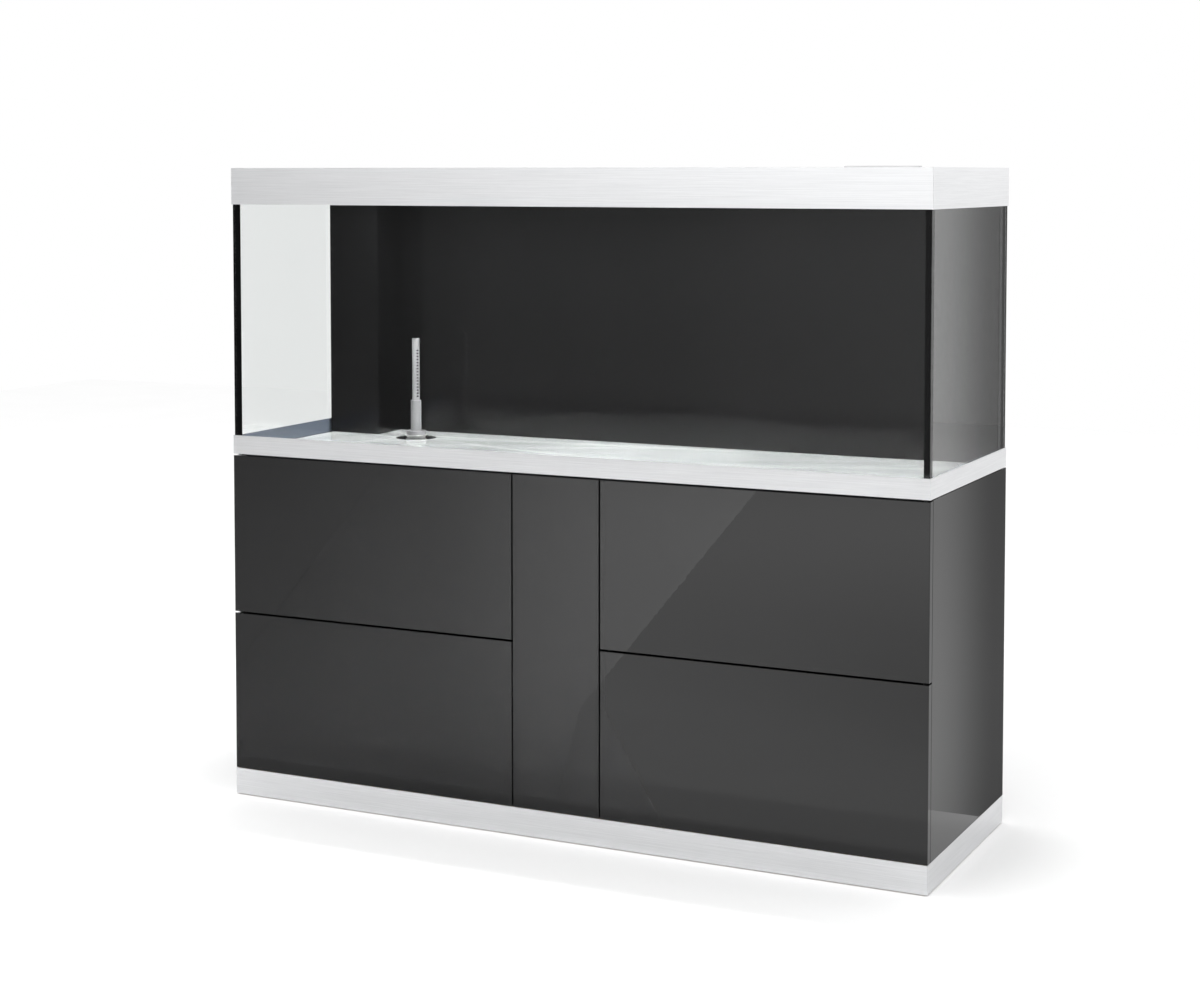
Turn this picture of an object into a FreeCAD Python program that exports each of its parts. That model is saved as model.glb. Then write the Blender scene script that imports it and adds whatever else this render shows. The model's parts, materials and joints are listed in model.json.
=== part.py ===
import FreeCAD, Part
import os
from FreeCAD import Vector

# Aquarium on a cabinet stand, in millimetres.
# X runs to the right, Y to the back and Z up. The origin is on the floor, under the middle.

# ---------------------------------------------------------------- driving sizes
width = 1500.0
depth = 500.0

# plinth and feet
plinth_height = 56.0
plinth_lift = 2.0             # the feet hold the plinth boards this far off the floor
plinth_board = 28.0
facing = 2.0                  # aluminium facing on the plinth
foot_radius = 25.0
foot_pad = 8.0
foot_stem_radius = 6.0
foot_socket_radius = 20.0
foot_socket_height = 26.0
foot_edge = 90.0              # a foot's centre from the outside of the plinth
foot_inner_x = 300.0
cross_rail_x = 187.0

# carcass
carcass_height = 660.0
board = 19.0
top_thickness = 25.0
top_recess = 2.5              # the side boards stand this far above the top board
back_thickness = 8.0
back_inset = 12.0
outlet_radius = 30.0          # cable outlet in the back panel
outlet_edge = 110.0           # its centre from the cabinet's side
outlet_drop = 70.0            # its centre below the top board
grommet_wall = 4.0
grommet_lip = 4.0
grommet_lip_thickness = 2.0

# fronts
front_thickness = 16.0
front_buffer = 2.0            # gap behind a closed front
front_round = 1.0             # rounding of a front's face edges
front_foot_gap = 1.0          # gap between the plinth and the fronts
front_top_gap = 2.0           # the fronts end this far below the side boards' tops
row_gap = 3.5
seam_gap = 2.7
centre_width = 187.0

# door pivots and push latches
pivot_inset = 5.0             # pivot from the door's outer edge
pin_radius = 2.0
pin_length = 14.0
pin_clearance = 0.05
plate_thickness = 2.5
plate_half = 3.0
plate_reach = 27.0            # how far a hinge plate goes into the side board
plate_clearance = 0.3
notch_front_skin = 2.5        # what is left of a door in front of its notch
notch_inner = 6.0             # the notch from the pivot towards the door's middle
latch_width = 16.0
latch_depth = 50.0
latch_height = 20.0
latch_setback = 1.0
plunger_radius = 4.0
plunger_length = 34.0
plunger_clearance = 0.3
plunger_end_room = 6.0

# drawers, pull-out and runners
runner_width = 12.7
runner_half = 22.5
runner_wall = 1.5
runner_play = 0.5
runner_setback = 2.0
box_board = 13.0
box_bottom = 8.0
box_bottom_lift = 10.0
box_back_room = 60.0          # from the boxes and runners to the back panel
box_lift = 35.0               # a box's lower edge above its front's lower edge
box_headroom = 82.0           # a drawer box's upper edge below its front's upper edge
tray_height = 120.0

# tank
mat = 3.5
film = 0.5
base_glass = 10.0
wall_glass = 12.0
seam = 1.5                    # silicone joint between two panes
bead = 2.0                    # leg of the silicone bead inside a corner
trim_height = 38.5
trim_skin = 2.0
view_height = 479.0           # glass between the trim and the lid
brace_thickness = 10.0
brace_width = 58.5
brace_drop = 6.0              # top of the braces below the panes' tops
cross_brace_half = 90.0

# shaft and background
acrylic = 6.0
shaft_width = 124.0           # from the left pane to the shaft's right face
shaft_depth = 134.0           # from the rear pane to the shaft's front face
shaft_drop = 20.0             # top of the shaft below the panes' tops
background_gap = 30.0         # room between the background panel and the rear pane

# plumbing
service_hole_radius = 44.0    # hole in film, mat and top board round a fitting
intake_x = 224.0              # intake centre from the inside of the left pane
intake_y = 141.0              # and from the inside of the rear pane
return_x = 59.0
return_y = 71.0
stem_radius = 15.0
stem_clearance = 0.5
stem_drop = 40.0
fitting_bore = 7.0
flange_foot_radius = 19.0
flange_radius = 23.5
flange_height = 6.0
nut_radius = 27.0
nut_height = 12.0
collar_radius = 21.2
collar_height = 8.5
sleeve_radius = 11.3
sleeve_height = 66.0
sleeve_stop = 24.0            # shoulder in the sleeve, above the flange, that the strainer stands on
strainer_radius = 8.1
strainer_wall = 1.6
strainer_clearance = 0.1
strainer_length = 185.0
strainer_cap = 3.0
slot_count = 16
slot_pitch = 6.65
slot_height = 3.2
slot_width = 5.0
slot_top = 26.0               # centre of the top slot below the strainer's top
slot_turns = (-30, 90, 210)
valve_radius = 18.0
valve_height = 50.0
boss_radius = 11.0
boss_reach = 26.0
tail_radius = 8.0
tail_length = 35.0
knob_radius = 17.0
knob_thickness = 8.0
knob_gap = 0.5
knob_fin = 10.0
knob_fin_half = 4.0
knob_shaft_radius = 4.0
knob_shaft_length = 13.0
knob_shaft_clearance = 0.05
knob_end_room = 0.5
riser_radius = 8.0
riser_wall = 1.5
riser_drop = 16.0             # top of the riser below the panes' tops
nozzle_wall = 2.0
nozzle_skirt = 12.0
nozzle_head = 14.0
nozzle_radius = 7.0
nozzle_reach = 110.0
nozzle_clearance = 0.05

# lid
lid_height = 75.0
lid_overlap = 21.0            # the lid hangs this far over the panes' tops
rail_skin = 2.0
rail_top = 14.0               # width of a rail's top face
rail_step = 7.0               # height of the step that the flaps sit in
rail_seat = 12.0
ledge = 16.0                  # width of the flange that stands on the glass
flap_thickness = 5.0
flap_edge_gap = 0.5
flap_rest_gap = 0.3
flap_split = 3.0
deck_depth = 130.0            # from the back of the lid to the flaps' hinge
hinge_front_room = 0.3        # between a flap's rear edge and the deck's knuckles
hinge_back_room = 1.7         # between the flaps' knuckles and the deck, for an open flap
knuckle_radius = 2.5
knuckle_length = 15.0
knuckle_gap = 0.3
knuckle_web = 3.75            # thickness of the web that carries a knuckle
flap_hinge_edge = 147.0       # middle of a flap's hinges from its sides
rod_radius = 1.25
rod_clearance = 0.05
grip_radius = 14.0
bridge_half = 12.0
bridge_gap = 4.0              # between the bridge and the light bars under it
feed_width = 144.0
feed_depth = 60.0
feed_side = 38.0              # feeding flap from the lid's right side
feed_front = 45.0             # and from the lid's front
feed_gap = 1.0
feed_axis = 4.0               # its pivot from its rear edge
feed_rear_room = 5.2
feed_pin_radius = 1.5
feed_pin_length = 5.0
feed_lip = 2.5
feed_lip_depth = 8.0
light_half = 18.0
light_height = 20.0
light_end = 50.0              # a light bar's end from the cabinet's side
light_tab_half = 12.0
light_tab_gap = 3.0
light_tab_height = 5.0
light_cover_half = 14.0
light_cover_height = 3.0
light_front = 150.0           # middle of the front light bar from the lid's front
light_pitch = 130.0

# ---------------------------------------------------------------- levels and faces
half_x = width / 2
half_y = depth / 2
front_y = -half_y
carcass_front = front_y + front_thickness + front_buffer
carcass_top = plinth_height + carcass_height
board_top = carcass_top - top_recess
board_under = board_top - top_thickness
bay_floor = plinth_height + board
back_front = half_y - back_inset - back_thickness
tank_bottom = board_top + mat + film
tank_floor = tank_bottom + base_glass
trim_top = tank_bottom + trim_height
lid_bottom = trim_top + view_height
lid_top = lid_bottom + lid_height
wall_top = lid_bottom + lid_overlap
brace_top = wall_top - brace_drop
shaft_top = wall_top - shaft_drop

fronts_low = plinth_height + front_foot_gap
fronts_high = carcass_top - front_top_gap
row_middle = (fronts_low + fronts_high) / 2
upper_row = (row_middle + row_gap / 2, fronts_high)
lower_row = (fronts_low, row_middle - row_gap / 2)
centre_half = centre_width / 2
seam_x = centre_half + seam_gap / 2          # middle of an upright seam, and of a partition
front_inner_x = centre_half + seam_gap
bay_inner_x = seam_x + board / 2             # outer bays begin here
bay_outer_x = half_x - board
centre_bay_x = seam_x - board / 2
box_end = back_front - box_back_room
drawer_box_height = upper_row[1] - upper_row[0] - box_lift - box_headroom

pane_x = half_x - trim_skin                  # outside of the glass
pane_y = half_y - trim_skin
inside_x = pane_x - wall_glass
inside_y = pane_y - wall_glass
shaft_right = -inside_x + shaft_width
shaft_front = inside_y - shaft_depth
background_back = inside_y - background_gap

intake = (-inside_x + intake_x, inside_y - intake_y)
outflow = (-inside_x + return_x, inside_y - return_y)
fittings = [intake, outflow]

hinge_y = half_y - deck_depth
flap_low = lid_top - flap_thickness
hinge_z = lid_top - flap_thickness / 2
hinge_front_gap = knuckle_radius + hinge_front_room
hinge_back_gap = knuckle_radius + hinge_back_room
flap_front = -half_y + rail_top + flap_edge_gap
flap_side = half_x - rail_top - flap_edge_gap
light_seat = wall_top + rail_skin
light_low = light_seat + light_tab_height
light_top = light_low + light_height


# ---------------------------------------------------------------- helpers
def block(x, y, z):
    """A box from three (low, high) pairs."""
    size = (x[1] - x[0], y[1] - y[0], z[1] - z[0])
    return Part.makeBox(*size, Vector(x[0], y[0], z[0]))


def disc(centre, radius, low, high):
    """An upright cylinder between two heights."""
    return Part.makeCylinder(radius, high - low, Vector(centre[0], centre[1], low))


def bar(radius, x, y, z):
    """A cylinder along X, from x[0] to x[1]."""
    return Part.makeCylinder(radius, x[1] - x[0], Vector(x[0], y, z), Vector(1, 0, 0))


def bolt(radius, x, y, z):
    """A cylinder along Y, from y[0] to y[1]."""
    return Part.makeCylinder(radius, y[1] - y[0], Vector(x, y[0], z), Vector(0, 1, 0))


def prism(points, low, high):
    """An upright prism over a polygon of (x, y) points."""
    corners = [Vector(x, y, low) for x, y in points]
    outline = Part.makePolygon(corners + corners[:1])
    return Part.Face(outline).extrude(Vector(0, 0, high - low))


def hexagon(centre, radius, low, high):
    ring = []
    for step in range(6):
        arm = FreeCAD.Rotation(Vector(0, 0, 1), 60 * step).multVec(Vector(radius, 0, 0))
        ring.append((centre[0] + arm.x, centre[1] + arm.y))
    return prism(ring, low, high)


def band(outer_inset, inner_inset, low, high):
    """A rectangular ring between two insets from the cabinet's outline."""
    outside = block((-half_x + outer_inset, half_x - outer_inset),
                    (-half_y + outer_inset, half_y - outer_inset), (low, high))
    inside = block((-half_x + inner_inset, half_x - inner_inset),
                   (-half_y + inner_inset, half_y - inner_inset), (low, high))
    return outside.cut(inside)


def mitred(frame, reach, low, high):
    """Cuts a rectangular ring at its corners into front, right, back and left pieces."""
    outer = [(-half_x, -half_y), (half_x, -half_y), (half_x, half_y), (-half_x, half_y)]
    inner = [(x - reach if x > 0 else x + reach, y - reach if y > 0 else y + reach) for x, y in outer]
    pieces = []
    for corner in range(4):
        following = (corner + 1) % 4
        wedge = prism([outer[corner], outer[following], inner[following], inner[corner]], low, high)
        pieces += frame.common(wedge).Solids
    return pieces


def merged(first, *others):
    shape = first
    for other in others:
        shape = shape.fuse(other)
    return shape.removeSplitter()


def save(name, *shapes):
    """Writes one sub-part; all of its solids go into parts/name.step."""
    solids = []
    for shape in shapes:
        solids += shape.Solids
    for solid in solids:
        if not solid.isValid():
            raise ValueError("bad solid in " + name)
    result = solids[0] if len(solids) == 1 else Part.makeCompound(solids)
    result.exportStep("parts/" + name + ".step")


# ---------------------------------------------------------------- plinth
def make_plinth():
    z = (plinth_lift, plinth_height)
    save("plinth_facing", *mitred(band(0, facing, *z), facing, *z))

    out_x = half_x - facing
    out_y = half_y - facing
    in_x = out_x - plinth_board
    in_y = out_y - plinth_board
    boards = [block((-out_x, out_x), (-out_y, -in_y), z), block((-out_x, out_x), (in_y, out_y), z)]
    boards += [block((-out_x, -in_x), (-in_y, in_y), z), block((in_x, out_x), (-in_y, in_y), z)]
    for x in (-cross_rail_x, cross_rail_x):
        boards.append(block((x - plinth_board / 2, x + plinth_board / 2), (-in_y, in_y), z))
    save("plinth_boards", *boards)

    feet = []
    for x in (-half_x + foot_edge, -foot_inner_x, foot_inner_x, half_x - foot_edge):
        for y in (-half_y + foot_edge, half_y - foot_edge):
            pad = disc((x, y), foot_radius, 0, foot_pad)
            stem = disc((x, y), foot_stem_radius, foot_pad, plinth_height)
            socket = disc((x, y), foot_socket_radius, plinth_height - foot_socket_height, plinth_height)
            feet.append(merged(pad, stem, socket))
    save("levelling_feet", *feet)


# ---------------------------------------------------------------- carcass
def hinge_levels():
    """(lower face of the plate, +1 where its pin points up) for each hinge plate."""
    levels = []
    for low, high in (lower_row, upper_row):
        levels.append((low, 1))
        levels.append((high - plate_thickness, -1))
    return levels


def pivot():
    return (-half_x + pivot_inset, front_y + front_thickness / 2)


def make_hinge_plates():
    x, y = pivot()
    plates = []
    for low, way in hinge_levels():
        high = low + plate_thickness
        arm = block((x - plate_half, x + plate_half), (y, carcass_front + plate_reach), (low, high))
        nose = disc((x, y), plate_half, low, high)
        start = high if way > 0 else low - pin_length
        pin = disc((x, y), pin_radius, start, start + pin_length)
        plates.append(merged(arm, nose, pin))
    save("hinge_plates", *plates)


def make_sides():
    y = (carcass_front, half_y)
    z = (plinth_height, carcass_top)
    left = block((-half_x, -bay_outer_x), y, z)
    x = pivot()[0]
    reach = (carcass_front, carcass_front + plate_reach)
    for low, way in hinge_levels():
        mortise = block((x - plate_half, x + plate_half), reach, (low, low + plate_thickness))
        left = left.cut(mortise)
    save("side_left", left)
    save("side_right", block((bay_outer_x, half_x), y, z))


def make_carcass():
    x = (-bay_outer_x, bay_outer_x)
    y = (carcass_front, half_y - facing)
    save("bottom_board", block(x, y, (plinth_height, bay_floor)))

    top = block(x, y, (board_under, board_top))
    for place in fittings:
        top = top.cut(disc(place, service_hole_radius, board_under, board_top))
    save("top_board", top)

    for name, way in (("partition_left", -1), ("partition_right", 1)):
        near, far = sorted((way * centre_bay_x, way * bay_inner_x))
        save(name, block((near, far), (carcass_front, back_front), (bay_floor, board_under)))

    outlet = (-half_x + outlet_edge, board_under - outlet_drop)
    through = (back_front, back_front + back_thickness)
    back = block(x, through, (bay_floor, board_under))
    save("back_panel", back.cut(bolt(outlet_radius, outlet[0], through, outlet[1])))

    inner = outlet_radius - grommet_wall
    lip = (through[1], through[1] + grommet_lip_thickness)
    ring = merged(bolt(outlet_radius, outlet[0], through, outlet[1]),
                  bolt(outlet_radius + grommet_lip, outlet[0], lip, outlet[1]))
    save("cable_grommet", ring.cut(bolt(inner, outlet[0], (through[0], lip[1]), outlet[1])))


# ---------------------------------------------------------------- fronts and latches
def front_board(x, z):
    """A front with its face edges rounded."""
    shape = block(x, (front_y, front_y + front_thickness), z)
    edges = [edge for edge in shape.Edges if edge.BoundBox.YMax < front_y + front_round]
    return shape.makeFillet(front_round, edges)


def make_doors():
    x, y = pivot()
    for name, row in (("door_upper", upper_row), ("door_lower", lower_row)):
        door = front_board((-half_x, -front_inner_x), row)
        depth_cut = plate_thickness + plate_clearance
        for low, high, way in ((row[0], row[0] + depth_cut, 1), (row[1] - depth_cut, row[1], -1)):
            notch = block((-half_x, x + notch_inner), (front_y + notch_front_skin, front_y + front_thickness),
                          (low, high))
            start = high if way > 0 else low - pin_length
            bore = disc((x, y), pin_radius + pin_clearance, start, start + pin_length)
            door = door.cut(notch).cut(bore)
        save(name, door)


def make_latches():
    face = -bay_inner_x
    x = face - latch_width / 2
    start = carcass_front + latch_setback
    tip = carcass_front - front_buffer + plunger_clearance
    housings = []
    for name, row in (("plunger_upper", upper_row), ("plunger_lower", lower_row)):
        z = (row[0] + row[1]) / 2
        body = block((face - latch_width, face), (start, start + latch_depth),
                     (z - latch_height / 2, z + latch_height / 2))
        room = (start, tip + plunger_length + plunger_end_room)
        housings.append(body.cut(bolt(plunger_radius + plunger_clearance, x, room, z)))
        save(name, bolt(plunger_radius, x, (tip, tip + plunger_length), z))
    save("latch_housings", *housings)


# ---------------------------------------------------------------- runners and drawers
def channel(web_x, lip_x, half, y, z):
    """A C-section runner member: web at web_x, flanges reaching to lip_x."""
    way = 1 if lip_x > web_x else -1
    web = block(sorted((web_x, web_x + way * runner_wall)), y, (z - half, z + half))
    span = sorted((web_x, lip_x))
    upper = block(span, y, (z + half - runner_wall, z + half))
    lower = block(span, y, (z - half, z - half + runner_wall))
    return merged(web, upper, lower)


def runner(wall_x, way, z):
    """The outer, middle and inner members of one runner on a bay wall; way is +1 on a left-hand wall."""
    y = (carcass_front + runner_setback, box_end)
    step = runner_wall + runner_play
    outer = channel(wall_x, wall_x + way * (runner_width - runner_play), runner_half, y, z)
    middle = channel(wall_x + way * step, wall_x + way * (runner_width - step), runner_half - step, y, z)
    inner = channel(wall_x + way * runner_width, wall_x + way * 2 * step, runner_half - 2 * step, y, z)
    return outer, middle, inner


def runner_pair(bay, z):
    left = runner(bay[0], 1, z)
    right = runner(bay[1], -1, z)
    return [[left[member], right[member]] for member in range(3)]


def open_box(bay, low, high):
    """Five boards of an open box that hangs between a bay's runners."""
    x = (bay[0] + runner_width, bay[1] - runner_width)
    y = (front_y + front_thickness, box_end)
    inner_x = (x[0] + box_board, x[1] - box_board)
    inner_y = (y[0] + box_board, y[1] - box_board)
    bottom = low + box_bottom_lift
    return [block((x[0], inner_x[0]), y, (low, high)),
            block((inner_x[1], x[1]), y, (low, high)),
            block(inner_x, (y[0], inner_y[0]), (low, high)),
            block(inner_x, (inner_y[1], y[1]), (low, high)),
            block(inner_x, inner_y, (bottom, bottom + box_bottom))]


def make_drawers():
    """The two right-hand drawers; returns their outer runner members."""
    outers = []
    bay = (bay_inner_x, bay_outer_x)
    for name, row in (("drawer_upper", upper_row), ("drawer_lower", lower_row)):
        low = row[0] + box_lift
        outer, middle, inner = runner_pair(bay, low + drawer_box_height / 2)
        save(name + "_front", front_board((front_inner_x, half_x), row))
        save(name + "_box", *open_box(bay, low, low + drawer_box_height))
        save(name + "_runners_inner", *inner)
        save(name + "_runners_middle", *middle)
        outers += outer
    return outers


def make_pullout():
    """The narrow centre pull-out with two trays; returns its outer runner members."""
    bay = (-centre_bay_x, centre_bay_x)
    outers = []
    middles = []
    inners = []
    boards = []
    for row in (lower_row, upper_row):
        low = row[0] + box_lift
        outer, middle, inner = runner_pair(bay, low + tray_height / 2)
        outers += outer
        middles += middle
        inners += inner
        boards += open_box(bay, low, low + tray_height)
    between = (lower_row[0] + box_lift + tray_height, upper_row[0] + box_lift)
    across = (bay[0] + runner_width, bay[1] - runner_width)
    boards.append(block(across, (box_end - box_board, box_end), between))
    save("pullout_front", front_board((-centre_half, centre_half), (fronts_low, fronts_high)))
    save("pullout_box", *boards)
    save("pullout_runners_inner", *inners)
    save("pullout_runners_middle", *middles)
    return outers


# ---------------------------------------------------------------- tank
def make_tank_base():
    x = (-inside_x, inside_x)
    y = (-inside_y, inside_y)
    foam = block((-bay_outer_x, bay_outer_x), (carcass_front, half_y - facing), (board_top, board_top + mat))
    sheet = block(x, y, (board_top + mat, tank_bottom))
    for place in fittings:
        hole = disc(place, service_hole_radius, board_top, tank_bottom)
        foam = foam.cut(hole)
        sheet = sheet.cut(hole)
    save("base_mat", foam)
    save("base_film", sheet)
    pane = block((x[0] + seam, x[1] - seam), (y[0] + seam, y[1] - seam), (tank_bottom, tank_floor))
    for place in fittings:
        pane = pane.cut(disc(place, stem_radius + stem_clearance, tank_bottom, tank_floor))
    save("base_pane", pane)


def make_tank_walls():
    z = (tank_bottom, wall_top)
    save("front_pane", block((-pane_x, pane_x), (-pane_y, -inside_y), z))
    save("rear_pane", block((-pane_x, pane_x), (inside_y, pane_y), z))
    y = (-inside_y + seam, inside_y - seam)
    save("side_pane_left", block((-pane_x, -inside_x), y, z))
    save("side_pane_right", block((inside_x, pane_x), y, z))

    low = brace_top - brace_thickness
    inner_y = inside_y - brace_width
    braces = [block((-inside_x, inside_x), (-inside_y, -inner_y), (low, brace_top)),
              block((-inside_x, inside_x), (inner_y, inside_y), (low, brace_top)),
              block((-cross_brace_half, cross_brace_half), (-inner_y, inner_y), (low, brace_top))]
    save("glass_braces", *braces)

    trim = band(0, trim_skin, tank_bottom, trim_top)
    save("base_trim", *mitred(trim, trim_skin, tank_bottom, trim_top))


def corner_bead(x, y, low, high):
    """A three-cornered silicone bead that fills an inside corner of the tank."""
    way_x = -1 if x > 0 else 1
    way_y = -1 if y > 0 else 1
    return prism([(x, y), (x + way_x * bead, y), (x, y + way_y * bead)], low, high)


def make_silicone():
    z = (tank_bottom, wall_top)
    seams = []
    for way_x in (-1, 1):
        x = sorted((way_x * inside_x, way_x * pane_x))
        for way_y in (-1, 1):
            y = sorted((way_y * inside_y, way_y * (inside_y - seam)))
            joint = block(x, y, z)
            foot = way_y * inside_y
            inner = corner_bead(way_x * inside_x, foot, tank_floor, brace_top - brace_thickness)
            seams.append(merged(joint, inner))
    edge_y = inside_y - seam
    level = (tank_bottom, tank_floor)
    for way in (-1, 1):
        seams.append(block((-inside_x, inside_x), sorted((way * edge_y, way * inside_y)), level))
        seams.append(block(sorted((way * (inside_x - seam), way * inside_x)), (-edge_y, edge_y), level))
    save("silicone_seams", *seams)


def make_shaft():
    z = (tank_floor, shaft_top)
    left = -inside_x
    edge = shaft_right - acrylic
    front = block((left + bead, shaft_right), (shaft_front, shaft_front + acrylic), z)
    side = block((edge, shaft_right), (shaft_front + acrylic, inside_y), z)
    save("shaft_casing", front, side)
    x = (shaft_right, inside_x)
    save("background_panel", block(x, (background_back - acrylic, background_back), z))


# ---------------------------------------------------------------- plumbing
def make_fittings():
    bodies = []
    nuts = []
    for place in fittings:
        base = Vector(place[0], place[1], tank_floor)
        flange = Part.makeCone(flange_foot_radius, flange_radius, flange_height, base)
        stem = disc(place, stem_radius, tank_bottom - stem_drop, tank_floor)
        through = disc(place, fitting_bore, tank_bottom - stem_drop, tank_floor + flange_height)
        bodies.append(merged(flange, stem).cut(through))
        nut = hexagon(place, nut_radius, tank_bottom - nut_height, tank_bottom)
        nuts.append(nut.cut(disc(place, stem_radius, tank_bottom - nut_height, tank_bottom)))
    save("bulkheads", *bodies)
    save("bulkhead_nuts", *nuts)


def make_intake():
    low = tank_floor + flange_height
    top = low + collar_height + sleeve_height
    stop = low + sleeve_stop
    collar = disc(intake, collar_radius, low, low + collar_height)
    sleeve = merged(collar, disc(intake, sleeve_radius, low, top))
    socket = disc(intake, strainer_radius + strainer_clearance, stop, top)
    save("intake_sleeve", sleeve.cut(disc(intake, fitting_bore, low, top)).cut(socket))

    end = stop + strainer_length
    strainer = disc(intake, strainer_radius, stop, end)
    hollow = disc(intake, strainer_radius - strainer_wall, stop, end - strainer_cap)
    strainer = strainer.cut(hollow)
    reach = strainer_radius + strainer_clearance
    cuts = []
    for row in range(slot_count):
        middle = end - slot_top - row * slot_pitch
        slot = block((intake[0], intake[0] + reach), (intake[1] - slot_width / 2, intake[1] + slot_width / 2),
                     (middle - slot_height / 2, middle + slot_height / 2))
        for turn in slot_turns:
            cuts.append(slot.rotated(Vector(intake[0], intake[1], middle), Vector(0, 0, 1), turn))
    save("strainer", strainer.cut(Part.makeCompound(cuts)))


def make_valves():
    top = tank_bottom - stem_drop
    low = top - valve_height
    axis_z = (top + low) / 2
    bodies = []
    for name, place in (("valve_knob_intake", intake), ("valve_knob_return", outflow)):
        x, y = place
        face = y - boss_reach
        body = merged(disc(place, valve_radius, low, top), disc(place, tail_radius, low - tail_length, low),
                      bolt(boss_radius, x, (face, y), axis_z))
        body = body.cut(disc(place, fitting_bore - riser_wall, low - tail_length, top))
        bore = (face, face + knob_shaft_length + knob_end_room)
        hole = bolt(knob_shaft_radius + knob_shaft_clearance, x, bore, axis_z)
        bodies.append(body.cut(hole))

        back = face - knob_gap
        plate = bolt(knob_radius, x, (back - knob_thickness, back), axis_z)
        shaft = bolt(knob_shaft_radius, x, (back, face + knob_shaft_length), axis_z)
        fin = block((x - knob_fin_half, x + knob_fin_half), (back - knob_thickness - knob_fin, back),
                    (axis_z - knob_radius + knob_gap, axis_z + knob_radius - knob_gap))
        save(name, merged(plate, shaft, fin))
    save("valve_bodies", *bodies)


def make_return():
    low = tank_floor + flange_height
    top = wall_top - riser_drop
    pipe = disc(outflow, riser_radius, low, top)
    save("riser_pipe", pipe.cut(disc(outflow, riser_radius - riser_wall, low, top)))

    head = riser_radius + nozzle_wall
    skirt_low = top - nozzle_skirt
    head_top = top + nozzle_head
    axis_z = head_top - nozzle_radius
    x, y = outflow
    spout = bar(nozzle_radius, (x, x + nozzle_reach), y, axis_z)
    body = merged(disc(outflow, head, skirt_low, head_top), spout)
    socket = disc(outflow, riser_radius + nozzle_clearance, skirt_low, top)
    throat = disc(outflow, riser_radius - riser_wall, top, axis_z)
    mouth = bar(nozzle_radius - nozzle_wall, (x, x + nozzle_reach), y, axis_z)
    save("return_nozzle", body.cut(socket).cut(throat).cut(mouth))


# ---------------------------------------------------------------- lid
def make_lid_rails():
    skin = band(0, rail_skin, lid_bottom, lid_top)
    top = band(0, rail_top, lid_top - rail_skin, lid_top)
    step = band(rail_top - rail_skin, rail_top, lid_top - rail_step, lid_top)
    seat = band(rail_top - rail_skin, rail_top + rail_seat, lid_top - rail_step, flap_low)
    foot = band(0, ledge, wall_top, wall_top + rail_skin)
    reach = rail_top + rail_seat
    save("lid_rails", *mitred(merged(skin, top, step, seat, foot), reach, lid_bottom, lid_top))


def hinge_starts(flap):
    """Left ends of the two hinges of a flap that spans flap[0] to flap[1]."""
    length = 3 * knuckle_length + 2 * knuckle_gap
    return [middle - length / 2 for middle in (flap[0] + flap_hinge_edge, flap[1] - flap_hinge_edge)]


def knuckle(start, way):
    """One hinge knuckle; its web reaches towards the flap (way -1) or the deck (way +1)."""
    x = (start, start + knuckle_length)
    gap = hinge_back_gap if way > 0 else hinge_front_gap
    barrel = bar(knuckle_radius, x, hinge_y, hinge_z)
    web_height = (hinge_z - knuckle_web / 2, hinge_z + knuckle_web / 2)
    web = block(x, sorted((hinge_y, hinge_y + way * gap)), web_height)
    return merged(barrel, web)


def rod_hole(start):
    length = 3 * knuckle_length + 2 * knuckle_gap
    return bar(rod_radius + rod_clearance, (start, start + length), hinge_y, hinge_z)


def make_lid_top():
    flaps = {"flap_left": (-flap_side, -flap_split / 2), "flap_right": (flap_split / 2, flap_side)}
    y = (flap_front, hinge_y - hinge_front_gap)
    z = (flap_low + flap_rest_gap, lid_top)
    deck = block((-flap_side, flap_side), (hinge_y + hinge_back_gap, half_y - rail_top - flap_edge_gap),
                 (flap_low, lid_top))
    rods = []
    pitch = knuckle_length + knuckle_gap
    for name, span in flaps.items():
        flap = block(span, y, z)
        grip = disc(((span[0] + span[1]) / 2, flap_front), grip_radius, flap_low, lid_top)
        flap = flap.cut(grip)
        for start in hinge_starts(span):
            hole = rod_hole(start)
            deck = merged(deck, knuckle(start, 1), knuckle(start + 2 * pitch, 1)).cut(hole)
            flap = merged(flap, knuckle(start + pitch, -1)).cut(hole)
            rods.append(bar(rod_radius, (start, start + 2 * pitch + knuckle_length), hinge_y, hinge_z))
        if name == "flap_right":
            flap = make_feeding_flap(flap, z)
        save(name, flap)
    save("flap_hinge_rods", *rods)

    bridge_y = half_y - rail_top - rail_seat
    bridge = block((-bridge_half, bridge_half), (-bridge_y, bridge_y), (light_top + bridge_gap, flap_low))
    save("lid_deck", deck, bridge)


def make_feeding_flap(flap, z):
    """Writes the feeding flap and returns the right-hand flap with the opening for it."""
    x = (half_x - feed_side - feed_width, half_x - feed_side)
    y = (-half_y + feed_front, -half_y + feed_front + feed_depth)
    axis_y = y[1] - feed_axis
    opening = block((x[0] - feed_gap, x[1] + feed_gap), (y[0] - feed_gap, axis_y + feed_rear_room), z)
    pin_x = (x[0] - feed_pin_length, x[1] + feed_pin_length)
    pins = bar(feed_pin_radius, pin_x, axis_y, hinge_z)
    lip = block(x, (y[0], y[0] + feed_lip_depth), (lid_top, lid_top + feed_lip))
    cover = merged(block(x, y, z), pins, lip)
    save("feeding_flap", cover)
    return flap.cut(opening).cut(bar(feed_pin_radius + rod_clearance, pin_x, axis_y, hinge_z))


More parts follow.
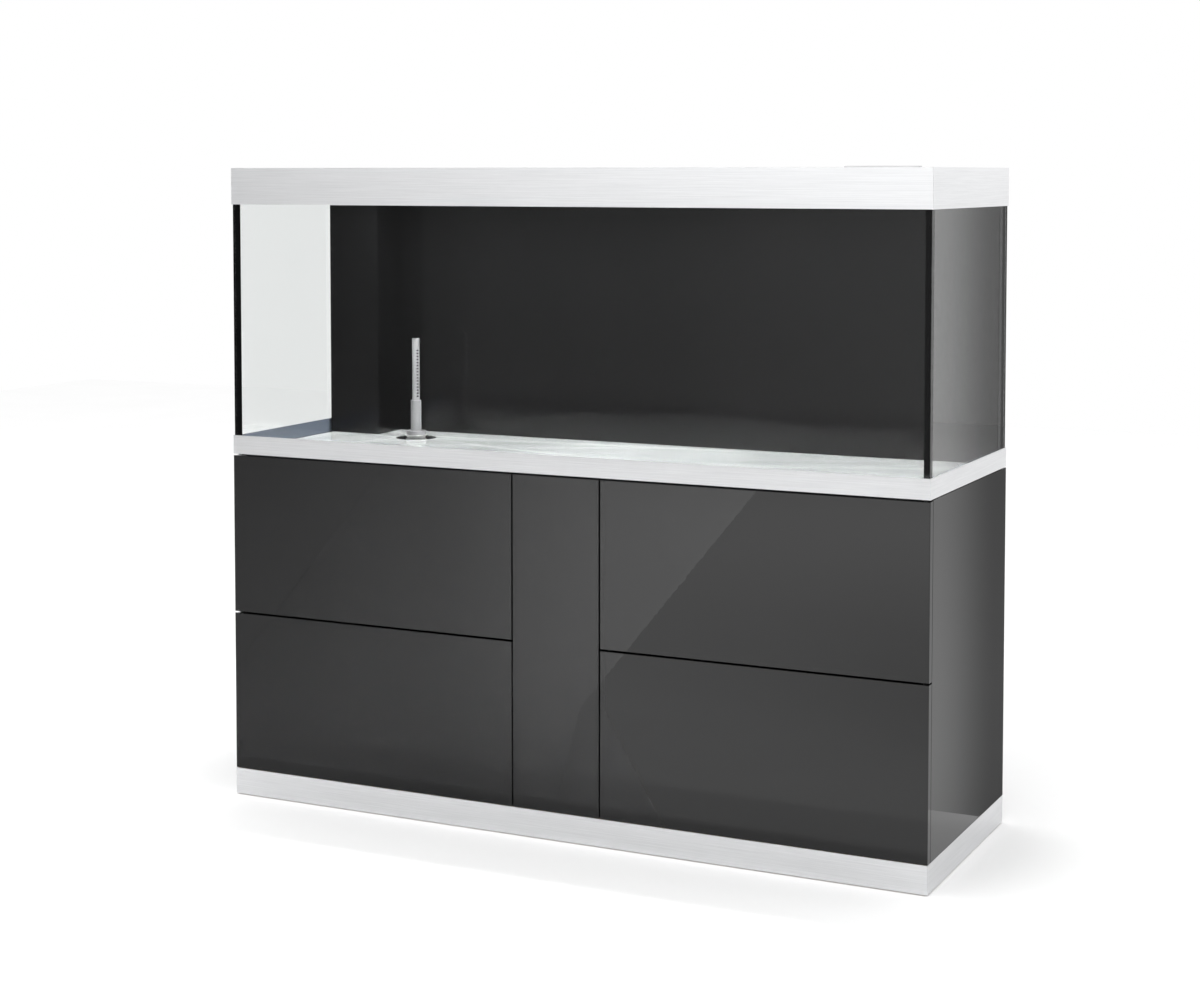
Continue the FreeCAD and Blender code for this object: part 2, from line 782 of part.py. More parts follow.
def make_lights():
    end = half_x - light_end
    bars = []
    covers = []
    first = -half_y + light_front
    for y in (first, first + light_pitch):
        case = block((-end, end), (y - light_half, y + light_half), (light_low, light_top))
        reach = half_x - light_tab_gap
        tab_y = (y - light_tab_half, y + light_tab_half)
        tab_z = (light_seat, (light_low + light_top) / 2)
        left = block((-reach, -end), tab_y, tab_z)
        right = block((end, reach), tab_y, tab_z)
        bars.append(merged(case, left, right))
        cover_y = (y - light_cover_half, y + light_cover_half)
        covers.append(block((-end, end), cover_y, (light_low - light_cover_height, light_low)))
    save("light_bars", *bars)
    save("light_covers", *covers)


os.makedirs("parts", exist_ok=True)
make_plinth()
make_hinge_plates()
make_sides()
make_carcass()
make_doors()
make_latches()
save("runner_outers", *(make_pullout() + make_drawers()))
make_tank_base()
make_tank_walls()
make_silicone()
make_shaft()
make_fittings()
make_intake()
make_valves()
make_return()
make_lid_rails()
make_lid_top()
make_lights()
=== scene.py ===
import json
import math

import bmesh
import bpy
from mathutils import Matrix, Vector

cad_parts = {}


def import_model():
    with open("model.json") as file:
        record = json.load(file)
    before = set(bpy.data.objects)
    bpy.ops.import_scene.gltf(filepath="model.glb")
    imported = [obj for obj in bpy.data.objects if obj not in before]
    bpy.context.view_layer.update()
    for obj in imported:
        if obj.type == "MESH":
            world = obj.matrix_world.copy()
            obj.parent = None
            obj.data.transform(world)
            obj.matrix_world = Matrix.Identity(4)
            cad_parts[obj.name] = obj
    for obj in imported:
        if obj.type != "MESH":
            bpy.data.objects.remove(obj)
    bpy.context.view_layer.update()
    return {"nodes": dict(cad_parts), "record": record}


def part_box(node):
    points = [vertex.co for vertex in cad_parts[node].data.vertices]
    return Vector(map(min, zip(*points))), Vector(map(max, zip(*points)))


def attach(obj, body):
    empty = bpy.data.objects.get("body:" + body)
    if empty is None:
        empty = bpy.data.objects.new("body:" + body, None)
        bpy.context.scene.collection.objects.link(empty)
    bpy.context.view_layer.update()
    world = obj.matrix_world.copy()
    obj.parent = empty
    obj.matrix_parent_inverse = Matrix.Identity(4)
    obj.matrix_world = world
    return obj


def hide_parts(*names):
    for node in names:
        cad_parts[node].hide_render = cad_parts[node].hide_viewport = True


# The looks of an aquarium on a cabinet stand, in metres, in the frame of its CAD model.
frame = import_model()
cad = frame["nodes"]

half_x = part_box("front_pane")[1].x + 0.002         # outside of the object
half_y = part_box("rear_pane")[1].y + 0.002

# ---------------------------------------------------------------- finishes
LACQUER_BASE = (0.0028, 0.0028, 0.0030, 1)
ALUMINIUM_DARK = (0.710, 0.715, 0.725, 1)
ALUMINIUM_LIGHT = (0.830, 0.835, 0.845, 1)
PRIMER_DARK = (0.125, 0.145, 0.185, 1)
PRIMER_LIGHT = (0.145, 0.165, 0.205, 1)
LEVEL_FACE = 0.7                                  # a face is level when its normal's Z is above this
INNER_FACE = -0.1                                 # an inner side has normal X times place X below this
GREY_DARK = (0.17, 0.17, 0.175, 1)
GREY_LIGHT = (0.22, 0.22, 0.225, 1)
GREY_SHADE = (0.010, 0.010, 0.011, 1)             # inside the strainer, where light hardly enters
SHADE_DEPTH = 0.0006                              # it is fully dark this far below its outside
SHADE_BLEND = 0.0004                              # and lit again this much nearer to it
GLASS_TINT = (0.985, 0.994, 0.991, 1)
GLASS_TINT_LOW = (0.972, 0.987, 0.982, 1)
LAMP_WHITE = (1.0, 0.985, 0.960, 1)
LAMP_GLOW = 9.0


def new_node(tree, kind, inputs=None, **settings):
    """Adds a node with its settings. An input is a number, a colour or another node's output."""
    node = tree.nodes.new(kind)
    for name, value in settings.items():
        setattr(node, name, value)
    for socket, value in (inputs or {}).items():
        if isinstance(value, bpy.types.NodeSocket):
            tree.links.new(value, node.inputs[socket])
        else:
            node.inputs[socket].default_value = value
    return node


def placed(name, data):
    """An object with that data, in the scene."""
    thing = bpy.data.objects.new(name, data)
    bpy.context.scene.collection.objects.link(thing)
    return thing


class Paint:
    """A material with one Principled shader, and short calls that add nodes to it."""

    def __init__(self, name, **constants):
        self.material = bpy.data.materials.new(name)
        self.material.use_nodes = True
        self.tree = self.material.node_tree
        self.shader = self.tree.nodes["Principled BSDF"]
        self.output = self.tree.nodes["Material Output"]
        for socket, value in constants.items():
            self.shader.inputs[socket.replace("_", " ")].default_value = value
        self.object_place = self.node("ShaderNodeTexCoord").outputs["Object"]

    def node(self, kind, inputs=None, **settings):
        return new_node(self.tree, kind, inputs, **settings)

    def parts(self, vector):
        """The X, Y and Z of a vector."""
        return self.node("ShaderNodeSeparateXYZ", {"Vector": vector}).outputs

    def scaled(self, scale):
        """The object's own coordinates, stretched."""
        inputs = {"Vector": self.object_place, "Scale": scale}
        return self.node("ShaderNodeMapping", inputs).outputs["Vector"]

    def noise(self, scale, detail=2.0, roughness=0.5, stretch=(1, 1, 1), distortion=0.0):
        inputs = {"Vector": self.scaled(stretch), "Scale": scale, "Detail": detail,
                  "Roughness": roughness, "Distortion": distortion}
        return self.node("ShaderNodeTexNoise", inputs).outputs["Fac"]

    def cells(self, scale, stretch=(1, 1, 1)):
        """The distance to the nearest of scattered points."""
        inputs = {"Vector": self.scaled(stretch), "Scale": scale}
        return self.node("ShaderNodeTexVoronoi", inputs).outputs["Distance"]

    def prisms(self, scale):
        """Ridges across the Y direction."""
        inputs = {"Vector": self.object_place, "Scale": scale, "Distortion": 0.0}
        settings = {"bands_direction": "Y", "wave_profile": "TRI"}
        return self.node("ShaderNodeTexWave", inputs, **settings).outputs["Fac"]

    def math(self, operation, a, b=0.0):
        return self.node("ShaderNodeMath", {0: a, 1: b}, operation=operation).outputs[0]

    def span(self, value, low, high, start=0.0, end=1.0):
        """Maps value from start..end to low..high."""
        inputs = {"Value": value, "From Min": start, "From Max": end, "To Min": low, "To Max": high}
        return self.node("ShaderNodeMapRange", inputs).outputs["Result"]

    def colours(self, value, first, second, start=0.3, end=0.7):
        """A colour between first and second, by value."""
        ramp = self.node("ShaderNodeValToRGB", {"Fac": value})
        ramp.color_ramp.elements[0].position = start
        ramp.color_ramp.elements[0].color = first
        ramp.color_ramp.elements[1].position = end
        ramp.color_ramp.elements[1].color = second
        return ramp.outputs["Color"]

    def mix(self, factor, a, b):
        """A number between a and b."""
        return self.node("ShaderNodeMix", {"Factor": factor, "A": a, "B": b}).outputs["Result"]

    def mix_colours(self, factor, a, b):
        """A colour between a and b. The colour sockets of the Mix node are found by number."""
        return self.node("ShaderNodeMix", {0: factor, 6: a, 7: b}, data_type="RGBA").outputs[2]

    def bump(self, height, strength, distance):
        inputs = {"Height": height, "Strength": strength, "Distance": distance}
        self.set("Normal", self.node("ShaderNodeBump", inputs).outputs["Normal"])

    def set(self, socket, value):
        self.tree.links.new(value, self.shader.inputs[socket])

    def end_with(self, shader):
        """Makes that shader the material's surface."""
        self.tree.links.new(shader, self.output.inputs["Surface"])


def brushed(name):
    """Aluminium brushed along each rail, in streaks of several lengths; primed grey on inner sides."""
    paint = Paint(name)
    place = paint.parts(paint.object_place)
    from_side = paint.math("SUBTRACT", half_x, paint.math("ABSOLUTE", place["X"]))
    from_front = paint.math("SUBTRACT", half_y, paint.math("ABSOLUTE", place["Y"]))
    on_side = paint.math("LESS_THAN", from_side, from_front)
    normal = paint.parts(paint.node("ShaderNodeNewGeometry").outputs["Normal"])
    level = paint.math("GREATER_THAN", paint.math("ABSOLUTE", normal["Z"]), LEVEL_FACE)
    upright = paint.noise(1.0, 4.0, 0.8, (7, 7, 800))
    along_x = paint.noise(1.0, 4.0, 0.8, (7, 800, 7))
    along_y = paint.noise(1.0, 4.0, 0.8, (800, 7, 7))
    streaks = paint.mix(level, upright, paint.mix(on_side, along_x, along_y))
    haze = paint.noise(3.0, 2.0)
    metal = paint.colours(streaks, ALUMINIUM_DARK, ALUMINIUM_LIGHT, 0.32, 0.68)
    inside = paint.math("LESS_THAN", paint.math("MULTIPLY", normal["X"], place["X"]), INNER_FACE)
    primed = paint.colours(haze, PRIMER_DARK, PRIMER_LIGHT)
    paint.set("Base Color", paint.mix_colours(inside, metal, primed))
    paint.set("Metallic", paint.math("SUBTRACT", 1.0, inside))
    rough = paint.math("ADD", paint.span(streaks, 0.30, 0.46), paint.span(haze, 0.0, 0.06))
    paint.set("Roughness", rough)
    paint.bump(streaks, 0.12, 0.0004)
    return paint.material


def lacquer(name, base, gloss):
    """High-gloss lacquer with faint orange peel and faint wiping marks."""
    paint = Paint(name, Specular_IOR_Level=0.42)
    peel = paint.noise(160.0, 1.0)
    smear = paint.noise(6.0, 4.0, 0.6, (1, 1, 2.5), 0.8)
    lifted = tuple(min(1.0, value * 1.18 + 0.0008) for value in base[:3]) + (1,)
    paint.set("Base Color", paint.colours(paint.noise(2.0, 3.0), base, lifted))
    paint.set("Roughness", paint.span(smear, gloss, gloss * 1.8))
    paint.bump(peel, 0.018, 0.0006)
    return paint.material


def melamine(name, first, second, rough=0.42):
    """A melamine-faced board with a fine embossed grain."""
    paint = Paint(name)
    grain = paint.noise(60.0, 5.0, 0.6, (0.6, 0.6, 6), 0.4)
    tone = paint.noise(5.0, 3.0, 0.5, (1, 1, 4))
    value = paint.math("ADD", grain, paint.span(tone, -0.12, 0.12))
    paint.set("Base Color", paint.colours(value, first, second))
    paint.set("Roughness", paint.span(grain, rough - 0.06, rough + 0.10))
    paint.bump(grain, 0.25, 0.0003)
    return paint.material


def chipboard(name):
    """Raw particle board: pressed chips of several sizes and tones."""
    paint = Paint(name)
    chips = paint.cells(260.0, stretch=(1, 1, 2.5))
    flakes = paint.noise(90.0, 6.0, 0.7)
    value = paint.math("ADD", paint.math("MULTIPLY", chips, 0.5), paint.math("MULTIPLY", flakes, 0.7))
    paint.set("Base Color", paint.colours(value, (0.22, 0.145, 0.08, 1), (0.60, 0.47, 0.32, 1)))
    paint.set("Roughness", paint.span(flakes, 0.75, 0.95))
    paint.bump(value, 0.5, 0.0006)
    return paint.material


def moulded(name, first, second, rough, grain=900.0, strength=0.12):
    """Moulded plastic or rubber with a fine spark-eroded texture and slight tone changes."""
    paint = Paint(name)
    texture = paint.noise(grain, 3.0, 0.6)
    tone = paint.noise(14.0, 3.0)
    paint.set("Base Color", paint.colours(tone, first, second))
    paint.set("Roughness", paint.math("ADD", paint.span(texture, rough - 0.05, rough + 0.05),
                                      paint.span(tone, -0.03, 0.05)))
    paint.bump(texture, strength, 0.0002)
    return paint.material


def strainer_plastic_painted_shade(name):
    """The grey plastic of the strainer, with painted shade inside its outer skin, so that the slots show."""
    low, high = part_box("strainer")
    paint = Paint(name)
    place = paint.parts(paint.object_place)
    away_x = paint.math("SUBTRACT", place["X"], (low.x + high.x) / 2)
    away_y = paint.math("SUBTRACT", place["Y"], (low.y + high.y) / 2)
    squares = paint.math("ADD", paint.math("POWER", away_x, 2.0), paint.math("POWER", away_y, 2.0))
    away = paint.math("SQRT", squares)
    skin = (high.x - low.x) / 2 - SHADE_DEPTH
    # painted shade: below the outer skin the plastic is coloured near black, so the slots read as shaded
    lit = paint.span(away, 0.0, 1.0, skin, skin + SHADE_BLEND)
    texture = paint.noise(600.0, 3.0, 0.6)
    tone = paint.colours(paint.noise(14.0, 3.0), GREY_DARK, GREY_LIGHT)
    paint.set("Base Color", paint.mix_colours(lit, GREY_SHADE, tone))
    paint.set("Roughness", paint.span(texture, 0.29, 0.42))
    paint.bump(texture, 0.12, 0.0002)
    return paint.material


def zinc(name):
    """Bright zinc plating: soft crystal flecks and fine drawing lines."""
    paint = Paint(name, Metallic=1.0)
    flecks = paint.cells(240.0)
    lines = paint.noise(1.0, 3.0, 0.7, (600, 12, 600))
    paint.set("Base Color", paint.colours(flecks, (0.52, 0.53, 0.56, 1), (0.74, 0.75, 0.77, 1), 0.1, 0.8))
    rough = paint.math("ADD", paint.span(flecks, 0.22, 0.34), paint.span(lines, 0.0, 0.12))
    paint.set("Roughness", rough)
    paint.bump(lines, 0.08, 0.0002)
    return paint.material


def foam(name):
    """Black closed-cell foam with fine pores; its black is painted shade that keeps the gap under the trim
    dark.
    """
    paint = Paint(name)
    pores = paint.cells(700.0)
    base, edge = (0.004, 0.004, 0.004, 1), (0.030, 0.030, 0.032, 1)
    paint.set("Base Color", paint.colours(pores, base, edge, 0.05, 0.6))
    paint.set("Roughness", paint.span(pores, 0.95, 0.75))
    paint.bump(pores, 0.6, 0.0006)
    return paint.material


def film(name):
    """White self-adhesive film: satin, with faint creases and a few small bubbles."""
    paint = Paint(name)
    crease = paint.noise(9.0, 5.0, 0.65, (1, 2.2, 1), 1.2)
    bubbles = paint.cells(26.0)
    height = paint.math("ADD", crease, paint.span(bubbles, 0.5, 0.0, 0.0, 0.08))
    paint.set("Base Color", paint.colours(crease, (0.905, 0.905, 0.905, 1), (0.920, 0.920, 0.925, 1)))
    paint.set("Roughness", paint.span(crease, 0.35, 0.5))
    paint.bump(height, 0.004, 0.0004)
    return paint.material


def glass(name):
    """Clear float glass. Light from lamps passes it, so that the inside of the tank is lit."""
    paint = Paint(name, IOR=1.5, Transmission_Weight=1.0, Roughness=0.0)
    drawn = paint.noise(4.0, 2.0, 0.5, (1, 1, 0.3))
    paint.set("Base Color", paint.colours(drawn, GLASS_TINT_LOW, GLASS_TINT))
    clear = paint.node("ShaderNodeBsdfTransparent", {"Color": GLASS_TINT}).outputs["BSDF"]
    shadow = paint.node("ShaderNodeLightPath").outputs["Is Shadow Ray"]
    inputs = {0: shadow, 1: paint.shader.outputs["BSDF"], 2: clear}
    paint.end_with(paint.node("ShaderNodeMixShader", inputs).outputs["Shader"])
    return paint.material


def silicone(name):
    """Glossy black sealant with the slight ripples of a finger-smoothed bead."""
    paint = Paint(name)
    ripple = paint.noise(45.0, 3.0, 0.5, (1, 1, 0.6))
    paint.set("Base Color", paint.colours(ripple, (0.003, 0.003, 0.003, 1), (0.010, 0.010, 0.011, 1)))
    paint.set("Roughness", paint.span(ripple, 0.12, 0.30))
    paint.bump(ripple, 0.25, 0.0010)
    return paint.material


def diffuser(name):
    """A frosted cover with fine prism lines along the lamp."""
    paint = Paint(name, Transmission_Weight=0.35, IOR=1.49)
    lines = paint.prisms(150.0)
    tone = paint.noise(20.0, 2.0)
    paint.set("Base Color", paint.colours(tone, (0.88, 0.89, 0.90, 1), (0.95, 0.96, 0.97, 1)))
    paint.set("Roughness", paint.span(tone, 0.25, 0.4))
    paint.shader.inputs["Emission Color"].default_value = LAMP_WHITE
    paint.shader.inputs["Emission Strength"].default_value = LAMP_GLOW
    paint.bump(lines, 0.5, 0.0008)
    return paint.material


def anodised(name):
    """Extruded and anodised aluminium with long die lines."""
    paint = Paint(name, Metallic=1.0)
    lines = paint.noise(1.0, 3.0, 0.7, (3, 500, 500))
    paint.set("Base Color", paint.colours(lines, (0.60, 0.61, 0.62, 1), (0.76, 0.77, 0.78, 1)))
    paint.set("Roughness", paint.span(lines, 0.34, 0.5))
    paint.bump(lines, 0.1, 0.0003)
    return paint.material


materials = {
    "brushed_aluminium": brushed("brushed_aluminium"),
    "gloss_anthracite": lacquer("gloss_anthracite", LACQUER_BASE, 0.0012),
    "carcass_board": melamine("carcass_board", (0.020, 0.020, 0.021, 1), (0.050, 0.050, 0.053, 1)),
    "plinth_core": chipboard("plinth_core"),
    "drawer_board": melamine("drawer_board", (0.135, 0.137, 0.142, 1), (0.225, 0.228, 0.236, 1), 0.38),
    "zinc_steel": zinc("zinc_steel"),
    "black_plastic": moulded("black_plastic", (0.012, 0.012, 0.013, 1), (0.026, 0.026, 0.028, 1), 0.42),
    "grey_plastic": moulded("grey_plastic", GREY_DARK, GREY_LIGHT, 0.34, 600.0),
    "white_plastic": moulded("white_plastic", (0.72, 0.72, 0.71, 1), (0.82, 0.82, 0.81, 1),
                             0.30, 500.0, 0.05),
    "knob_plastic": moulded("knob_plastic", (0.030, 0.105, 0.210, 1), (0.045, 0.140, 0.270, 1), 0.36),
    "black_acrylic": lacquer("black_acrylic", (0.0015, 0.0015, 0.0016, 1), 0.09),
    "clear_glass": glass("clear_glass"),
    "black_silicone": silicone("black_silicone"),
    "black_foam": foam("black_foam"),
    "white_lid": moulded("white_lid", (0.60, 0.60, 0.605, 1), (0.70, 0.70, 0.705, 1), 0.40, 380.0, 0.20),
    "light_case": anodised("light_case"),
    "light_diffuser": diffuser("light_diffuser"),
    "white_film": film("white_film"),
    "strainer_plastic_painted_shade": strainer_plastic_painted_shade("strainer_plastic_painted_shade"),
}
slots = {part["node"]: part["material_slot"] for part in frame["record"]["subparts"]}
body_of = {node: body for body, nodes in frame["record"]["behaviour"]["bodies"].items() for node in nodes}


# ---------------------------------------------------------------- pieces from CAD nodes
OWN_FINISH = {"base_film": "white_film", "strainer": "strainer_plastic_painted_shade"}


def finish_of(node):
    """The material of a node; the film under the tank and the strainer have their own."""
    return materials[OWN_FINISH.get(node, slots[node])]


FLAT = math.radians(0.5)                          # faces that meet flatter than this are made one
SHARP = math.radians(38)                          # and edges sharper than this are rounded


def whole_solids(mesh, source):
    """Rebuilds a CAD mesh with joined points, whole flat faces and each solid as a closed shell."""
    shape = bmesh.new()
    corners = {}
    unpaired = set()
    for face in source.polygons:
        ring = []
        for index in face.vertices:
            place = source.vertices[index].co
            key = tuple(round(value, 6) for value in place)
            if key not in corners:
                corners[key] = shape.verts.new(place)
            ring.append(corners[key])
        if len(set(ring)) < len(ring):
            continue
        shape.faces.new(ring)
        for first, second in zip(ring, ring[1:] + ring[:1]):
            unpaired ^= {frozenset((first, second))}
        if not unpaired:
            corners = {}
    bmesh.ops.dissolve_limit(shape, angle_limit=FLAT, verts=shape.verts, edges=shape.edges)
    shape.to_mesh(mesh)
    shape.free()


def eased(node, width):
    """A piece with a CAD node's shape and its sharp edges rounded by width, in place of the node."""
    mesh = bpy.data.meshes.new(node + "_eased")
    whole_solids(mesh, cad[node].data)
    piece = placed(node + "_eased", mesh)
    mesh.materials.append(finish_of(node))
    for face in mesh.polygons:
        face.use_smooth = True
    edge = piece.modifiers.new("edges", "BEVEL")
    edge.width = width
    edge.segments = 2
    edge.limit_method = "ANGLE"
    edge.angle_limit = SHARP
    edge.harden_normals = True
    edge.use_clamp_overlap = True
    edge.miter_outer = "MITER_ARC"
    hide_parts(node)
    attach(piece, body_of[node])


EASED = {                                         # width of the rounding: nodes
    0.0004: ["base_trim", "plinth_facing", "lid_rails"],
    0.0005: ["side_left", "side_right", "bottom_board", "top_board", "partition_left", "partition_right",
             "drawer_upper_box", "drawer_lower_box", "pullout_box", "shaft_casing", "background_panel"],
    0.0007: ["front_pane", "rear_pane", "side_pane_left", "side_pane_right", "glass_braces"],
    0.0010: ["flap_left", "flap_right", "feeding_flap", "lid_deck", "latch_housings", "light_bars"],
    0.0003: ["hinge_plates", "valve_knob_intake", "valve_knob_return"],
}
for width, nodes in EASED.items():
    for node in nodes:
        eased(node, width)

for node, thing in cad.items():
    thing.data.materials.clear()
    thing.data.materials.append(finish_of(node))


FILL_WIDTH = 0.004                                # of the sealant beside the glass
FILL_HOLLOW = 0.75                                # how far its face is smoothed in
FILL_TAPER = 0.6                                  # and how much narrower it ends at the panel
FILL_CLEARANCE = 0.0004
FILL_STEPS = 7


def corner_fill(name):
    """Black sealant smoothed over the upright right corner between the background panel and the rear pane."""
    pane_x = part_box("side_pane_right")[0].x - FILL_CLEARANCE
    low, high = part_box("background_panel")
    front, back = high.y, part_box("rear_pane")[0].y
    profile = [(pane_x, front), (pane_x, back)]
    for step in range(FILL_STEPS + 1):
        share = step / FILL_STEPS
        width = FILL_WIDTH * (1 - FILL_HOLLOW * math.sin(math.pi * share))
        profile.append((pane_x - width * (1 - FILL_TAPER * share), back - (back - front) * share))
    shape = bmesh.new()
    rings = [[shape.verts.new((x, y, z)) for x, y in profile] for z in (low.z, high.z)]
    shape.faces.new(rings[0][::-1])
    shape.faces.new(rings[1])
    for i in range(len(profile)):
        j = (i + 1) % len(profile)
        shape.faces.new((rings[0][i], rings[0][j], rings[1][j], rings[1][i]))
    bmesh.ops.recalc_face_normals(shape, faces=shape.faces)
    mesh = bpy.data.meshes.new(name)
    shape.to_mesh(mesh)
    shape.free()
    mesh.materials.append(materials["black_silicone"])
    piece = placed(name, mesh)
    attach(piece, body_of["background_panel"])


corner_fill("corner_fill_right")


# ---------------------------------------------------------------- studio
FLOOR = ((-7.0, -5.2), (7.0, 7.0))                # its front-left and back-right corners
PAPER_DARK = (0.890, 0.890, 0.890, 1)
PAPER_LIGHT = (0.905, 0.905, 0.905, 1)
FLOOR_GLOW = 0.09                                 # lifts its tone for the eye only
DOME = 0.97                                       # what lights the object from all round
CARD_STEPS = 24                                   # a card's glow is given at this many steps each way


def floor():
    """A pale seamless floor under the object."""
    (left, front), (right, back) = FLOOR
    corners = [(left, front, 0), (right, front, 0), (right, back, 0), (left, back, 0)]
    mesh = bpy.data.meshes.new("studio_floor")
    mesh.from_pydata(corners, [], [(0, 1, 2, 3)])
    thing = placed("studio_floor", mesh)
    paint = Paint("floor_paper", Roughness=1.0, Specular_IOR_Level=0.0, Emission_Color=(1, 1, 1, 1))
    paint.set("Base Color", paint.colours(paint.noise(3.0, 3.0), PAPER_DARK, PAPER_LIGHT))
    path = paint.node("ShaderNodeLightPath").outputs
    eye = paint.math("MAXIMUM", path["Is Camera Ray"], path["Is Transmission Ray"])
    paint.set("Emission Strength", paint.math("MULTIPLY", eye, FLOOR_GLOW))
    mesh.materials.append(paint.material)


def softbox(name, place, target, size, power, glossy=True):
    """A rectangular studio light at place, turned to target. The camera doesn't see it."""
    lamp = bpy.data.lights.new(name, "AREA")
    lamp.shape = "RECTANGLE"
    lamp.size, lamp.size_y = size
    lamp.energy = power
    thing = placed(name, lamp)
    thing.location = place
    thing.rotation_euler = (Vector(target) - Vector(place)).to_track_quat("-Z", "Y").to_euler()
    thing.visible_camera = False
    thing.visible_glossy = glossy
    thing.visible_transmission = False


def card(name, corner, along, up, formula, dark=False, sharp=True):
    """A reflector that only glossy surfaces see. The formula gives its strength at (share along, share up).

    A glowing card adds its light to what is behind it; a dark one takes that share of it away. A sharp one
    shows in glass and lacquer only, not in brushed metal.
    """
    shares = [(column / CARD_STEPS, row / CARD_STEPS)
              for row in range(CARD_STEPS + 1) for column in range(CARD_STEPS + 1)]
    places = [Vector(corner) + Vector(along) * across + Vector(up) * height for across, height in shares]
    strengths = [formula(across, height) for across, height in shares]
    width = CARD_STEPS + 1
    faces = [(i + row * width, i + 1 + row * width, i + 1 + (row + 1) * width, i + (row + 1) * width)
             for row in range(CARD_STEPS) for i in range(CARD_STEPS)]
    mesh = bpy.data.meshes.new(name)
    mesh.from_pydata(places, [], faces)
    mesh.attributes.new("glow", "FLOAT", "POINT").data.foreach_set("value", strengths)
    thing = placed(name, mesh)
    paint = Paint(name)
    strength = paint.node("ShaderNodeAttribute", attribute_name="glow").outputs["Fac"]
    path = paint.node("ShaderNodeLightPath").outputs
    if sharp:
        strength = paint.math("MULTIPLY", strength, path["Is Singular Ray"])
    clear = paint.node("ShaderNodeBsdfTransparent").outputs["BSDF"]
    if dark:
        mirrored = paint.math("GREATER_THAN", path["Glossy Depth"], 0.5)
        share = paint.math("MULTIPLY", strength, mirrored)
        black = paint.node("ShaderNodeEmission", {"Strength": 0.0}).outputs["Emission"]
        both = paint.node("ShaderNodeMixShader", {0: share, 1: clear, 2: black})
    else:
        shine = paint.node("ShaderNodeEmission", {"Strength": strength}).outputs["Emission"]
        both = paint.node("ShaderNodeAddShader", {0: clear, 1: shine})
    paint.end_with(both.outputs["Shader"])
    mesh.materials.append(paint.material)
    for view in ("camera", "diffuse", "volume_scatter", "shadow"):
        setattr(thing, "visible_" + view, False)
    thing.visible_transmission = dark


def ease(value):
    """0 below 0, 1 above 1, and smooth between."""
    value = min(1.0, max(0.0, value))
    return value * value * (3 - 2 * value)


def world():
    """White for the eye and through glass, an even dome for what lights, and a dim room for what mirrors."""
    sky = bpy.data.worlds.new("studio")
    bpy.context.scene.world = sky
    sky.use_nodes = True
    tree = sky.node_tree
    tree.nodes.clear()

    def add(kind, inputs=None, **settings):
        return new_node(tree, kind, inputs, **settings)

    def math_of(operation, a, b, clamp=False):
        return add("ShaderNodeMath", {0: a, 1: b}, operation=operation, use_clamp=clamp).outputs[0]

    def span(value, start, end, low, high):
        inputs = {"Value": value, "From Min": start, "From Max": end, "To Min": low, "To Max": high}
        return add("ShaderNodeMapRange", inputs).outputs["Result"]

    def between(factor, a, b):
        return add("ShaderNodeMix", {"Factor": factor, "A": a, "B": b}).outputs["Result"]

    place = add("ShaderNodeTexCoord").outputs["Generated"]
    aim = add("ShaderNodeSeparateXYZ", {0: place}).outputs
    front = span(aim["X"], -0.56, -0.26, 0.06, 0.30)             # the room is dimmer to the far left
    mirrored = between(span(aim["Y"], -0.6, 0.3, 0.0, 1.0), front, 1.0)
    path = add("ShaderNodeLightPath").outputs
    glossy = math_of("GREATER_THAN", path["Glossy Depth"], 0.5)
    diffuse = math_of("GREATER_THAN", path["Diffuse Depth"], 0.5)
    bounced = math_of("MAXIMUM", glossy, diffuse)
    seen = math_of("MAXIMUM", path["Is Camera Ray"], path["Is Transmission Ray"])
    direct = math_of("SUBTRACT", seen, bounced, clamp=True)
    mirror = math_of("SUBTRACT", glossy, diffuse, clamp=True)
    strength = between(direct, between(mirror, DOME, mirrored), 1.0)
    light = add("ShaderNodeBackground", {"Color": (1, 1, 1, 1), "Strength": strength})
    add("ShaderNodeOutputWorld", {"Surface": light.outputs[0]})


def camera():
    """A 65 mm lens at the height of the lid, to the right of the front, with a vertical shift."""
    lens = bpy.data.cameras.new("camera")
    lens.sensor_width = 36.0
    lens.lens = 65.35
    lens.shift_y = -0.16878
    lens.clip_start = 0.05
    lens.clip_end = 60.0
    thing = placed("camera", lens)
    thing.location = (1.8988, -3.9707, 1.2981)
    thing.rotation_euler = (math.radians(86.7506), 0, math.radians(25.847))
    bpy.context.scene.camera = thing


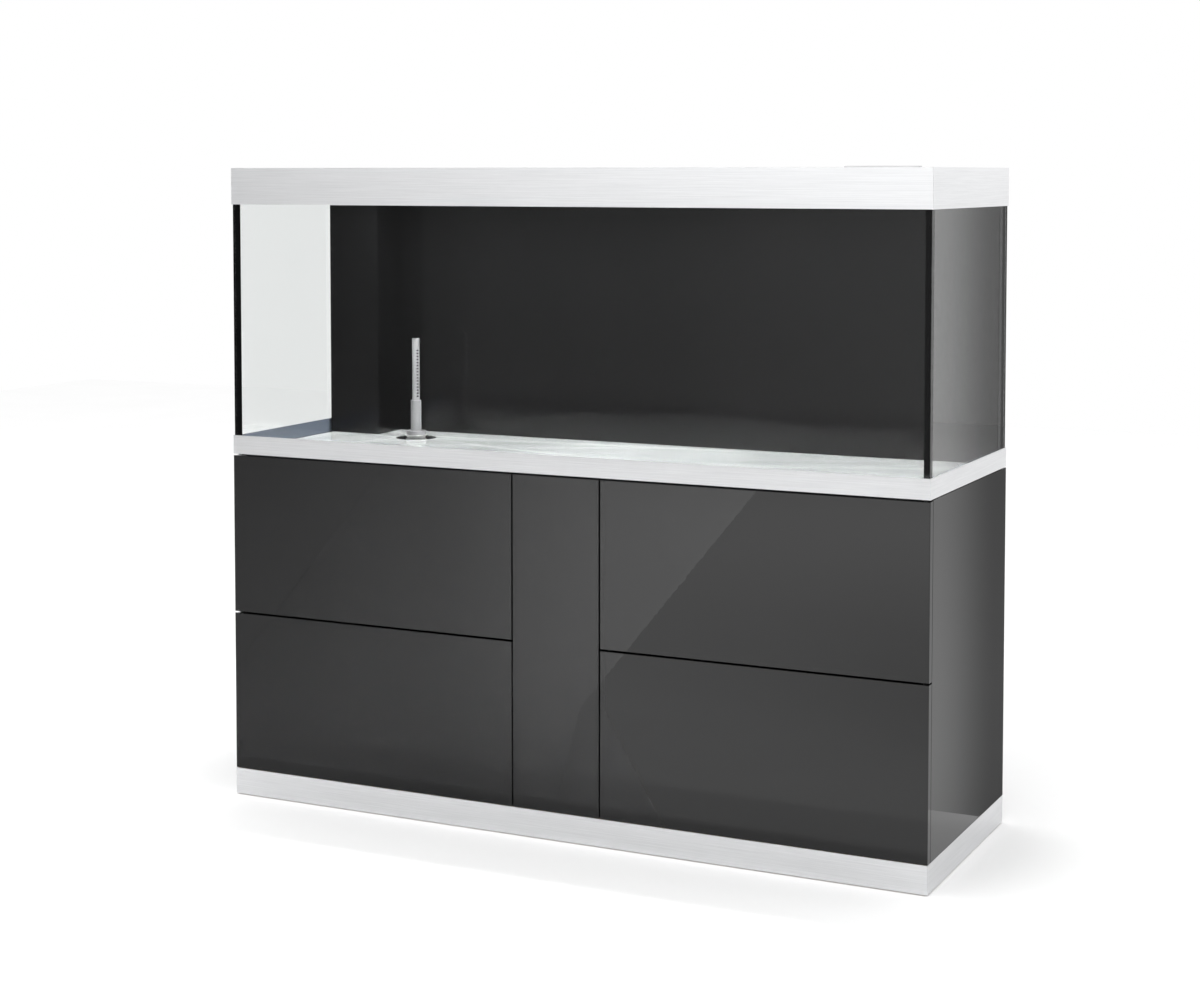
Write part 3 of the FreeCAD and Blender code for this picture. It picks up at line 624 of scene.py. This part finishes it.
floor()
world()
camera()
softbox("top_light", (-0.5, -0.4, 3.4), (0, 0, 0.6), (3.4, 2.6), 20)
softbox("floor_light", (0.3, -0.6, 5.0), (0.3, -0.6, 0), (9.0, 9.0), 75, glossy=False)
softbox("front_light", (-0.3, -4.6, 2.3), (0, 0, 0.8), (3.2, 1.6), 36, glossy=False)
for name, y in (("lamp_front", -0.10), ("lamp_rear", 0.03)):      # under the two light bars
    softbox(name, (0.045, y, 1.235), (0.045, y, 0), (1.38, 0.03), 10.5, glossy=False)

# What the fronts mirror: a broad glow, a second one with a slanting right edge, both running out on the
# floor, and a dimmer left side.
broad = {"corner": (-1.60, -1.21, 0.004), "along": (2.2, 0, 0)}
slanted = {"corner": (-1.43, -1.205, 0.004), "along": (1.01, 0, 0)}
card("broad_card", **broad, up=(0, 0, 0.62),
     formula=lambda across, height: (0.58 + 0.30 * across * ease(height * 1.3 - 0.2)) * ease(across * 2)
     * (1 - across ** 2 * (1 - ease(height * 1.1 - 0.1))))
card("slanted_card", **slanted, up=(0.49, 0, 0.60),
     formula=lambda across, height: 0.66 * across * (0.5 + 0.5 * ease(height * 3)))
card("broad_floor", **broad, up=(0.45, 0.96, 0),
     formula=lambda across, height: 0.45 * ease(across * 2) * (1 - across) ** 0.5 * (1 - ease(height * 1.2)))
card("slanted_floor", (-1.43, -1.205, 0.003), (1.01, 0, 0), (0.30, 0.71, 0),
     lambda across, height: 0.33 * across * (1 - ease(height)))
for name, z, up in (("left_flag", 0.004, (0, 0, 0.62)), ("low_flag", 0.005, (0.60, 0.93, 0))):
    card(name, (-1.65, -1.20, z), (1.30, 0, 0), up,
         lambda across, height: 0.27 * (1 - ease((across - 0.6) / 0.4)), dark=True)

# What the brushed metal mirrors, and what dims the right side and the right pane.
card("high_card", (-4.4, -4.2, 1.32), (6.4, 0, 0), (0, -0.6, 2.2),
     lambda across, height: 1.35 + 1.1 * ease(across * 1.3 - 0.1), sharp=False)
card("rear_card", (0.4, 2.4, 1.34), (2.6, 0, 0), (0, 0.3, 1.6), lambda across, height: 0.35, sharp=False)
card("flag", (0.752, 0.27, 0.0), (0.20, 0, 0), (0, 0, 1.255),
     lambda across, height: 0.74 - 0.48 * ease((across - 0.08) / 0.72), dark=True)
bpy.context.scene.view_settings.view_transform = "Standard"
